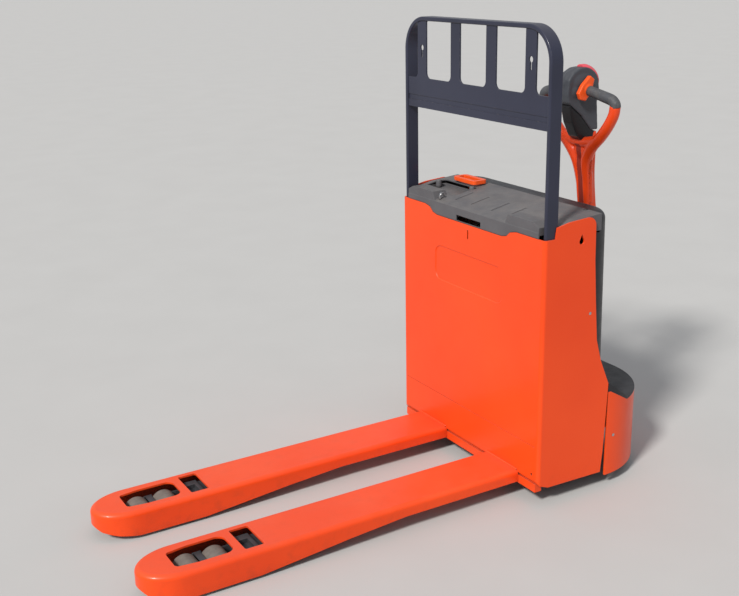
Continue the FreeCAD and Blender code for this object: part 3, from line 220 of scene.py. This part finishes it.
def plastic(name, colour, light, roughness, grain=1500.0, dust=0.25):
    """Grained moulded plastic, with dust in the grain, a hand-rubbed patchiness and scuffs."""
    f = Finish(name)
    tone = f.ramp(f.noise(5.0, 5.0, 0.6), 0.3, 0.72)
    colour_now = f.mix(tone, colour, light)
    dusty = f.math("MULTIPLY", f.facing_up(), f.ramp(f.noise(13.0, 8.0, 0.68), 0.36, 0.78))
    colour_now = f.mix(f.math("MULTIPLY", dusty, dust), colour_now, DUST)
    hair = f.noise(1.0, 3.0, 0.5, f.stretched(300.0, 12.0, 300.0), 0.5)
    scuffs = f.math("MULTIPLY", f.ramp(hair, 0.72, 0.77), f.ramp(f.noise(6.0, 3.0), 0.45, 0.62))
    colour_now = f.mix(f.math("MULTIPLY", scuffs, 0.35), colour_now, (0.30, 0.30, 0.31))
    # Painted shade: tight corners are darkened toward the grime colour.
    colour_now = f.mix(f.math("MULTIPLY", f.shade_in_hollows(0.02), 0.6), colour_now, GRIME_AND_SHADE)
    # Painted highlight, partly rubbed wear: every edge is made lighter all along.
    rubbed_and_highlit_edges = f.math("MULTIPLY", f.edges(), 0.35)
    colour_now = f.mix(rubbed_and_highlit_edges, colour_now, light)
    rough = f.ramp(f.noise(24.0, 6.0, 0.6), 0.3, 0.75, roughness - 0.07, roughness + 0.10)
    grain_height = f.math("ADD", f.cells(grain), f.noise(grain * 0.5, 3.0))
    normal = f.bump(grain_height, 0.22, 0.0003, f.soft_normal(MOULDED_EDGE))
    f.set(Base_Color=colour_now, Roughness=rough, Normal=normal)
    f.set(IOR=1.47, Specular_IOR_Level=0.3)
    return f.material


def rubber(name, colour, roughness, ribs=None, dust=0.2):
    """Dull rubber with fine speckle, and rings where the grip is ribbed."""
    f = Finish(name)
    tone = f.ramp(f.noise(30.0, 6.0, 0.65), 0.3, 0.75)
    colour_now = f.mix(tone, colour, tuple(min(1.0, c * 1.7 + 0.01) for c in colour))
    dusty = f.math("MULTIPLY", f.ramp(f.noise(45.0, 8.0, 0.7), 0.45, 0.8), dust)
    colour_now = f.mix(dusty, colour_now, DUST)
    normal = f.bump(f.noise(900.0, 3.0, 0.6), 0.25, 0.0003)
    if ribs:
        wave = f.node("ShaderNodeTexWave", Vector=f.place, Scale=ribs, Distortion=0.0)
        wave.bands_direction = "Y"
        normal = f.bump(wave.outputs["Fac"], 0.35, 0.0009, normal)
    rough = f.ramp(f.noise(60.0, 5.0), 0.3, 0.7, roughness - 0.08, roughness + 0.08)
    f.set(Base_Color=colour_now, Roughness=rough, Normal=normal, IOR=1.5)
    return f.material


def tread(name, colour, worn, roughness):
    """A solid tyre: scuffed running face, embedded grit and dust."""
    f = Finish(name)
    marks = f.ramp(f.noise(38.0, 8.0, 0.7), 0.35, 0.7)
    colour_now = f.mix(marks, colour, worn)
    grit = f.ramp(f.cells(260.0), 0.10, 0.02)
    colour_now = f.mix(f.math("MULTIPLY", grit, 0.5), colour_now, DUST)
    normal = f.bump(f.noise(240.0, 6.0, 0.65), 0.4, 0.0008)
    rough = f.ramp(f.noise(80.0, 5.0), 0.3, 0.7, roughness - 0.1, roughness + 0.12)
    f.set(Base_Color=colour_now, Roughness=rough, Normal=normal, IOR=1.5)
    return f.material


def metal(name, colour, roughness, brushed=True, rust=0.15, metallic=1.0):
    """Bare or plated steel, with turning lines, tarnish and a little rust."""
    f = Finish(name)
    tarnish = f.ramp(f.noise(28.0, 7.0, 0.65), 0.35, 0.75)
    dark = tuple(c * 0.55 for c in colour)
    colour_now = f.mix(tarnish, colour, dark)
    rusty = f.math("MULTIPLY", f.ramp(f.noise(60.0, 8.0, 0.7), 0.56, 0.7), rust)
    colour_now = f.mix(rusty, colour_now, (0.22, 0.09, 0.035))
    lines = f.noise(1.0, 2.0, 0.5, f.stretched(900.0, 60.0, 900.0)) if brushed \
        else f.noise(320.0, 5.0, 0.65)
    normal = f.bump(lines, 0.15 if brushed else 0.5, 0.0004)
    rough = f.math("ADD", f.ramp(lines, 0.3, 0.7, roughness - 0.06, roughness + 0.10),
                   f.math("MULTIPLY", rusty, 0.4))
    f.set(Base_Color=colour_now, Roughness=rough, Normal=normal, Metallic=metallic)
    return f.material


ORANGE = (0.86, 0.074, 0.009)
ORANGE_DEEP = (0.80, 0.060, 0.007)
FINISHES = {
    "orange_paint": lambda: paint("orange_paint", ORANGE, ORANGE_DEEP, 0.36, 0.10),
    "orange_casting": lambda: paint("orange_casting", (0.84, 0.068, 0.010),
                                    (0.78, 0.056, 0.008), 0.30, 0.18, dust=0.03, wear=0.1),
    "guard_paint": lambda: paint("guard_paint", (0.030, 0.033, 0.058), (0.020, 0.022, 0.040),
                                 0.38, 0.2, dust=0.06, wear=0.35),
    "frame_paint": lambda: paint("frame_paint", (0.050, 0.050, 0.055), (0.035, 0.035, 0.040),
                                 0.5, 0.0, dust=0.3),
    "lid_plastic": lambda: plastic("lid_plastic", (0.088, 0.086, 0.093), (0.125, 0.122, 0.128),
                                   0.52),
    "hood_plastic": lambda: plastic("hood_plastic", (0.016, 0.016, 0.019),
                                    (0.027, 0.027, 0.031), 0.42, dust=0.03),
    "pod_plastic": lambda: plastic("pod_plastic", (0.048, 0.052, 0.062), (0.075, 0.080, 0.092),
                                   0.42, dust=0.1),
    "grip_rubber": lambda: rubber("grip_rubber", (0.040, 0.042, 0.048), 0.62, ribs=60.0),
    "switch_orange": lambda: plastic("switch_orange", (0.84, 0.085, 0.012),
                                     (0.90, 0.115, 0.018), 0.34, grain=2600.0, dust=0.05),
    "button_red": lambda: plastic("button_red", (0.66, 0.075, 0.100), (0.80, 0.16, 0.19), 0.40,
                                  grain=2600.0, dust=0.05),
    "button_black": lambda: plastic("button_black", (0.007, 0.007, 0.009),
                                    (0.014, 0.014, 0.016), 0.35, grain=2600.0, dust=0.05),
    "steel": lambda: metal("steel", (0.56, 0.56, 0.57), 0.34),
    "forged_steel": lambda: metal("forged_steel", (0.105, 0.105, 0.115), 0.46, False, 0.3, 0.55),
    "cast_iron": lambda: metal("cast_iron", (0.16, 0.16, 0.165), 0.58, False, 0.4, 0.8),
    "roller_tyre": lambda: tread("roller_tyre", (0.12, 0.100, 0.086), (0.20, 0.170, 0.145), 0.55),
    "wheel_tyre": lambda: tread("wheel_tyre", (0.030, 0.029, 0.028), (0.075, 0.070, 0.066), 0.7),
    "tank_plastic": lambda: plastic("tank_plastic", (0.33, 0.32, 0.29), (0.42, 0.41, 0.38), 0.45),
    "motor_body": lambda: paint("motor_body", (0.025, 0.025, 0.027), (0.018, 0.018, 0.02), 0.42,
                                0.1),
    "aluminium": lambda: metal("aluminium", (0.62, 0.62, 0.63), 0.38, True, 0.0),
    "contactor": lambda: plastic("contactor", (0.03, 0.03, 0.032), (0.05, 0.05, 0.052), 0.45),
    "lead": lambda: metal("lead", (0.30, 0.30, 0.32), 0.55, False, 0.0),
}
FINISH_OF = {name: make() for name, make in FINISHES.items()}


def finish_nodes():
    """Give every CAD node the finish that its material slot names."""
    for part in frame["record"]["subparts"]:
        mesh = frame["nodes"][part["node"]].data
        mesh.materials.clear()
        mesh.materials.append(FINISH_OF[part["material_slot"]])


# ---------------------------------------------------------------------------------------------
# mesh helpers

def mesh_from(name, mesh):
    """Turn a bmesh into a mesh whose faces all look outward."""
    bmesh.ops.recalc_face_normals(mesh, faces=mesh.faces)
    data = bpy.data.meshes.new(name)
    mesh.to_mesh(data)
    mesh.free()
    return data


def new_piece(name, mesh, body, finish):
    """Add a mesh as a smooth-shaded piece that rides on a body and has a finish."""
    piece = bpy.data.objects.new(name, mesh)
    bpy.context.scene.collection.objects.link(piece)
    mesh.materials.clear()
    mesh.materials.append(FINISH_OF[finish])
    mesh.polygons.foreach_set("use_smooth", [True] * len(mesh.polygons))
    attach(piece, body)
    return piece


def smooth_path(points, steps):
    """Points along a Catmull-Rom curve through the given points."""
    ends = [points[0] * 2 - points[1]] + list(points) + [points[-1] * 2 - points[-2]]
    path = []
    for first, second, third, fourth in zip(ends, ends[1:], ends[2:], ends[3:]):
        for step in range(steps):
            t = step / steps
            path.append(0.5 * (2 * second + (third - first) * t
                               + (2 * first - 5 * second + 4 * third - fourth) * t ** 2
                               + (3 * second - first - 3 * third + fourth) * t ** 3))
    path.append(points[-1].copy())
    return path


def add_sweep(mesh, path, wide, deep, side=Vector((0, 1, 0)), sides=24, square=1.0):
    """Add a closed bar to a bmesh: an oval carried along a path. wide and deep give its half
    sizes in mm as functions of how far along the path it is, from 0 to 1. A square below 1 draws
    the oval out toward its corners."""
    rings = []
    for index, point in enumerate(path):
        ahead = path[min(index + 1, len(path) - 1)] - path[max(index - 1, 0)]
        ahead.normalize()
        out = side - ahead * side.dot(ahead)
        out.normalize()
        up = ahead.cross(out)
        t = index / (len(path) - 1)
        ring = []
        for step in range(sides):
            angle = 2 * math.pi * step / sides
            across = math.copysign(abs(math.cos(angle)) ** square, math.cos(angle))
            above = math.copysign(abs(math.sin(angle)) ** square, math.sin(angle))
            reach = out * wide(t) * across + up * deep(t) * above
            ring.append(mesh.verts.new(point + reach * MM))
        rings.append(ring)
    for first, second in zip(rings, rings[1:]):
        for step in range(sides):
            following = (step + 1) % sides
            mesh.faces.new((first[step], first[following], second[following], second[step]))
    mesh.faces.new(list(reversed(rings[0])))
    mesh.faces.new(rings[-1])


def add_slab(mesh, outline, y_low, y_high):
    """Add a closed plate to a bmesh: an outline of (x, z) in mm, thickened across the truck."""
    near = [mesh.verts.new(at(x, y_low, z)) for x, z in outline]
    far = [mesh.verts.new(at(x, y_high, z)) for x, z in outline]
    count = len(outline)
    for index in range(count):
        following = (index + 1) % count
        mesh.faces.new((near[index], near[following], far[following], far[index]))
    mesh.faces.new(list(reversed(near)))
    mesh.faces.new(far)


def add_ball(mesh, centre, radii):
    """Add an ellipsoid with its half sizes in mm."""
    turn = Matrix.Translation(centre) @ Matrix.Diagonal([r * MM for r in radii] + [1.0])
    bmesh.ops.create_icosphere(mesh, subdivisions=4, radius=1.0, matrix=turn)


def melted(name, mesh, voxel, rounds):
    """Melt overlapping closed shapes into one smooth skin, and return it as a mesh."""
    data = mesh_from(name, mesh)
    scratch = bpy.data.objects.new(name + "_scratch", data)
    bpy.context.scene.collection.objects.link(scratch)
    remesh = scratch.modifiers.new("melt", "REMESH")
    remesh.mode = "VOXEL"
    remesh.voxel_size = voxel * MM
    relax = scratch.modifiers.new("relax", "SMOOTH")
    relax.iterations = rounds
    relax.factor = 0.5
    bpy.context.view_layer.update()
    graph = bpy.context.evaluated_depsgraph_get()
    skin = bpy.data.meshes.new_from_object(scratch.evaluated_get(graph))
    bpy.data.objects.remove(scratch)
    bpy.data.meshes.remove(data)
    return skin


# ---------------------------------------------------------------------------------------------
# tiller head

LEAN = math.tan(math.radians(6.0))
HOOP_X = 430.0
HOOP_LOW = 1010.0


def hoop(y, z, forward=0.0):
    """A point in the leaning plane of the tiller's hoop."""
    return at(HOOP_X - (z - HOOP_LOW) * LEAN + forward, y, z)


ARM_LINE = ((444, 322), (456, 366), (474, 418), (486, 506), (488, 580), (487, 650), (480, 725),
            (470, 785), (461, 858), (457, 925), (456, 962))


def arm_x(height):
    """How far out the middle of the arm is at a height, in mm from the fork face."""
    for (low_x, low_z), (high_x, high_z) in zip(ARM_LINE, ARM_LINE[1:]):
        if height <= high_z:
            return low_x + (high_x - low_x) * (height - low_z) / (high_z - low_z)
    return ARM_LINE[-1][0]


def tiller_casting():
    """The orange arm that flares into the two horns of the hoop, moulded in one piece."""
    mesh = bmesh.new()
    arm = smooth_path([at(x, 0, z) for x, z in ARM_LINE], 5)
    add_sweep(mesh, arm, lambda t: 25.5, lambda t: 21.5 + 4.0 * t, square=0.55)
    add_sweep(mesh, [at(446, y, 330) for y in (-25, 0, 25)], lambda t: 18.5, lambda t: 18.5,
              side=Vector((1, 0, 0)))
    stem = smooth_path([at(466, 0, 900), at(467, 0, 960), at(467, 0, 1000), at(467, 0, 1027)], 4)
    add_sweep(mesh, stem, lambda t: 24.5 - 1.5 * t, lambda t: 16.5, square=0.6)
    for side in (-1, 1):
        horn = smooth_path([at(464, 9 * side, 800), at(455, 13 * side, 870),
                            at(441, 22 * side, 935), hoop(52 * side, 982),
                            hoop(96 * side, 1022), hoop(131 * side, 1060),
                            hoop(155 * side, 1095), hoop(164 * side, 1124)], 7)
        add_sweep(mesh, horn, lambda t: 19.5 - 3.0 * t, lambda t: 18.5 - 1.8 * t)
    add_ball(mesh, at(441, 0, 968), (17, 36, 34))
    floor = smooth_path([hoop(-80, 1008), hoop(0, 995), hoop(80, 1008)], 6)
    add_sweep(mesh, floor, lambda t: 15.0, lambda t: 16.0, side=Vector((1, 0, 0)))
    skin = melted("tiller_casting", mesh, 2.4, 6)
    carve_channel(skin)
    piece = new_piece("tiller_casting", skin, "tiller", "orange_casting")
    # The channel floor gets dark red painted shade.
    shade_channel_floor(skin)
    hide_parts("tiller_arm", "handle_ring")
    return piece


CHANNEL_LOW = 430
CHANNEL_HIGH = 985
CHANNEL_HALF_WIDTH = 13.0
CHANNEL_DEPTH = 5.0
GROOVE_HIGH = 940
GROOVE_FORWARD = 11
GROOVE_HALF_WIDTH = 6.5
GROOVE_DEPTH = 4.5


def run_out(height, low, high, length):
    """1 between two heights, falling to 0 at each over a length in mm."""
    return min(1.0, (height - low) / length) * min(1.0, (high - height) / length)


def carve_channel(skin):
    """Press the long channel into the face toward the forks, and a groove into each flank."""
    for vertex in skin.vertices:
        place = vertex.co
        height = place.z / MM
        if not CHANNEL_LOW < height < CHANNEL_HIGH:
            continue
        ends = run_out(height, CHANNEL_LOW, CHANNEL_HIGH, 30)
        if vertex.normal.x < -0.2:
            fall = max(0.0, 1.0 - (abs(place.y) / (CHANNEL_HALF_WIDTH * MM)) ** 4)
            place.x += CHANNEL_DEPTH * MM * fall * ends
        elif abs(vertex.normal.y) > 0.6 and height < GROOVE_HIGH:
            behind = (place.x - FACE) / MM - arm_x(height) + GROOVE_FORWARD
            fall = max(0.0, 1.0 - (behind / GROOVE_HALF_WIDTH) ** 2)
            place.y -= math.copysign(GROOVE_DEPTH * MM * fall * ends, place.y)


def shade_channel_floor(skin):
    """Paint the floor of the channel dark red: painted shade in the channel."""
    skin.materials.append(plastic("channel_painted_shade", (0.25, 0.026, 0.016), (0.34, 0.040, 0.024),
                                  0.5, grain=2200.0, dust=0.05))
    shade_half_width = 10.5 * MM
    for polygon in skin.polygons:
        centre = polygon.center
        if abs(centre.y) < shade_half_width and polygon.normal.x < -0.5 and 0.44 < centre.z < 0.99:
            polygon.material_index = 1


def grips():
    """Rubber sleeves from the wings to just past each elbow, a little fatter in the middle."""
    mesh = bmesh.new()
    for side in (-1, 1):
        path = smooth_path([hoop(54 * side, 1159), hoop(80 * side, 1154), hoop(110 * side, 1148),
                            hoop(138 * side, 1142.5), hoop(153 * side, 1138),
                            hoop(163 * side, 1129), hoop(165 * side, 1118)], 8)
        add_sweep(mesh, path, lambda t: 15.6 + 1.2 * math.sin(math.pi * t) ** 2,
                  lambda t: 15.6 + 1.2 * math.sin(math.pi * t) ** 2, sides=32,
                  side=Vector((1, 0, 0)))
    piece = new_piece("grips", mesh_from("grips", mesh), "tiller", "grip_rubber")
    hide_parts("handle_grips")
    return piece


HEAD_OUTLINE = ((453, 1032), (480, 1032), (473, 1118), (479, 1159), (474, 1190), (462, 1209),
                (444, 1221), (424, 1227), (398, 1225), (373, 1213), (355, 1192), (351, 1149),
                (356, 1124), (412, 1079))
# Outline of the black block that stands in for the shade under the head: painted shade.
SHADE_BLOCK_OUTLINE = ((364, 1116), (412, 1079), (453, 1034), (468, 1030), (466, 1000), (428, 998),
                (400, 1016), (378, 1060))


def head_shell():
    """The dark head: a deep dome whose flanks narrow down to the top of the arm."""
    mesh = bmesh.new()
    add_slab(mesh, HEAD_OUTLINE, -26, 26)
    add_ball(mesh, at(413, 0, 1180), (63, 34, 46))
    add_ball(mesh, at(392, 0, 1156), (41, 33, 34))
    add_ball(mesh, at(444, 0, 1164), (35, 33, 54))
    skin = melted("head_shell", mesh, 2.2, 14)
    piece = new_piece("head_shell", skin, "tiller", "pod_plastic")
    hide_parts("control_pod")
    return piece


def neck_shade_block():
    """A black block in the corner between the head's slanting underside and the hoop: painted
    shade, where the underside lies in shadow.
    """
    mesh = bmesh.new()
    add_slab(mesh, SHADE_BLOCK_OUTLINE, -23, 23)
    skin = melted("neck_shade_block", mesh, 2.2, 8)
    return new_piece("neck_shade_block", skin, "tiller", "button_black")


PIVOT_X = 414
PIVOT_Z = 1162
WING_OUTLINE = ((23, 30), (6, 42), (-24, 15), (-39, -10), (-30, -29), (-10, -34), (12, -10))


def accelerator():
    """The orange rotary wings between the head and the grips."""
    mesh = bmesh.new()
    outline = [(PIVOT_X + x, PIVOT_Z + z) for x, z in WING_OUTLINE]
    for side in (-1, 1):
        add_slab(mesh, outline, *sorted((35 * side, 50 * side)))
        add_ball(mesh, at(PIVOT_X, 46 * side, PIVOT_Z), (19, 9, 19))
    add_sweep(mesh, [at(PIVOT_X, y, PIVOT_Z) for y in (-44, 0, 44)], lambda t: 8.0,
              lambda t: 8.0, side=Vector((1, 0, 0)))
    skin = melted("accelerator_wings", mesh, 1.8, 8)
    piece = new_piece("accelerator_wings", skin, "accelerator", "switch_orange")
    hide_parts("accelerator_rocker")
    return piece


def belly_cap():
    """The red cap over the crown and the operator's side of the head."""
    mesh = bmesh.new()
    path = smooth_path([at(420, 0, 1230), at(441, 0, 1229), at(459, 0, 1221), at(473, 0, 1208),
                        at(482, 0, 1189), at(484, 0, 1169)], 6)
    add_sweep(mesh, path, lambda t: 25.0 * max(0.3, math.sin(math.pi * (0.1 + 0.8 * t))) ** 0.5,
              lambda t: 4.6, square=0.8)
    skin = melted("belly_cap", mesh, 1.6, 3)
    for vertex in skin.vertices:
        droop = (vertex.co.y / (22 * MM)) ** 2
        vertex.co -= Vector((0.6, 0, 0.8)) * 7.0 * MM * droop
    piece = new_piece("belly_cap", skin, "belly_button", "button_red")
    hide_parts("belly_button")
    return piece


# ---------------------------------------------------------------------------------------------
# small parts

FORK_MIDDLE = 187.5
WELD_LENGTH = 152
WELD_STEPS = 80


def weld_beads():
    """A rippled bead where each fork's top meets the front panel."""
    mesh = bmesh.new()
    for side in (-1, 1):
        path = []
        for step in range(WELD_STEPS + 1):
            y = FORK_MIDDLE * side - WELD_LENGTH / 2 + WELD_LENGTH * step / WELD_STEPS
            ripple = 0.7 * math.sin(step * 1.9) + random.uniform(-0.25, 0.25)
            path.append(at(-1.5 + 0.3 * ripple, y, 85.6 + ripple * 0.4))
        add_sweep(mesh, path, lambda t: 3.4, lambda t: 2.6, side=Vector((1, 0, 0)), sides=10)
    return new_piece("weld_beads", mesh_from("weld_beads", mesh), "lift_frame", "orange_paint")


def tray_pegs():
    """Two round pegs that stand in the lid's tray."""
    mesh = bmesh.new()
    for x, y in ((112, 318), (136, 166)):
        path = [at(x, y, height) for height in (834, 842, 850, 857, 860)]
        add_sweep(mesh, path, lambda t: 9.5 - 2.5 * t ** 3, lambda t: 9.5 - 2.5 * t ** 3,
                  side=Vector((1, 0, 0)))
    return new_piece("tray_pegs", mesh_from("tray_pegs", mesh), "lid", "lid_plastic")


def latch_clip():
    """The bent spring clip beside the lid's corner block."""
    mesh = bmesh.new()
    path = smooth_path([at(12, 166, 834), at(11, 166, 846), at(17, 166, 854), at(25, 166, 852),
                        at(29, 166, 842)], 5)
    add_sweep(mesh, path, lambda t: 4.5, lambda t: 1.1, sides=12, square=0.6)
    return new_piece("latch_clip", mesh_from("latch_clip", mesh), "lid", "steel")


# ---------------------------------------------------------------------------------------------
# studio

SUN_DIRECTION = Vector((0.678, 0.329, -0.657))
SUN_STRENGTH = 3.5
SUN_SOFTNESS = 9.0
SKY_STRENGTH = 0.52
FLOOR_HALF = 300.0


def studio():
    """A pale floor under a broad soft sun and an even pale sky."""
    mesh = bmesh.new()
    bmesh.ops.create_grid(mesh, x_segments=1, y_segments=1, size=FLOOR_HALF)
    data = bpy.data.meshes.new("studio_floor")
    mesh.to_mesh(data)
    mesh.free()
    floor = bpy.data.objects.new("studio_floor", data)
    bpy.context.scene.collection.objects.link(floor)
    f = Finish("studio_floor")
    tone = f.ramp(f.noise(3.0, 3.0), 0.3, 0.7)
    f.set(Base_Color=f.mix(tone, (0.475, 0.470, 0.460), (0.49, 0.485, 0.475)), Roughness=0.9)
    floor.data.materials.append(f.material)
    data = bpy.data.lights.new("sun", "SUN")
    data.energy = SUN_STRENGTH
    data.angle = math.radians(SUN_SOFTNESS)
    data.color = (1.0, 0.975, 0.94)
    sun = bpy.data.objects.new("sun", data)
    sun.rotation_euler = SUN_DIRECTION.to_track_quat("-Z", "Y").to_euler()
    bpy.context.scene.collection.objects.link(sun)
    world = bpy.data.worlds.new("studio")
    world.use_nodes = True
    background = world.node_tree.nodes["Background"]
    background.inputs["Color"].default_value = (0.92, 0.95, 1.0, 1.0)
    background.inputs["Strength"].default_value = SKY_STRENGTH
    bpy.context.scene.world = world
    bpy.context.scene.view_settings.view_transform = "Standard"


CAMERA_PLACE = Vector((-1.542, -2.586, 1.566))
CAMERA_TURN = 30.47
CAMERA_PITCH = 17.54
CAMERA_ROLL = -1.12
CAMERA_LENS = 52.85
CAMERA_SENSOR = 36.0


def camera():
    """The camera stands off the fork tips' near side and looks down along the truck."""
    data = bpy.data.cameras.new("camera")
    data.lens = CAMERA_LENS
    data.sensor_width = CAMERA_SENSOR
    view = bpy.data.objects.new("camera", data)
    level = Matrix.Rotation(math.radians(-CAMERA_TURN), 4, "Z")
    pitch = Matrix.Rotation(math.radians(90 - CAMERA_PITCH), 4, "X")
    roll = Matrix.Rotation(math.radians(CAMERA_ROLL), 4, "Z")
    view.matrix_world = Matrix.Translation(CAMERA_PLACE) @ level @ pitch @ roll
    bpy.context.scene.collection.objects.link(view)
    bpy.context.scene.camera = view


camera()
studio()
finish_nodes()
tiller_casting()
grips()
head_shell()
neck_shade_block()
accelerator()
belly_cap()
weld_beads()
tray_pegs()
latch_clip()

bpy.context.view_layer.update()
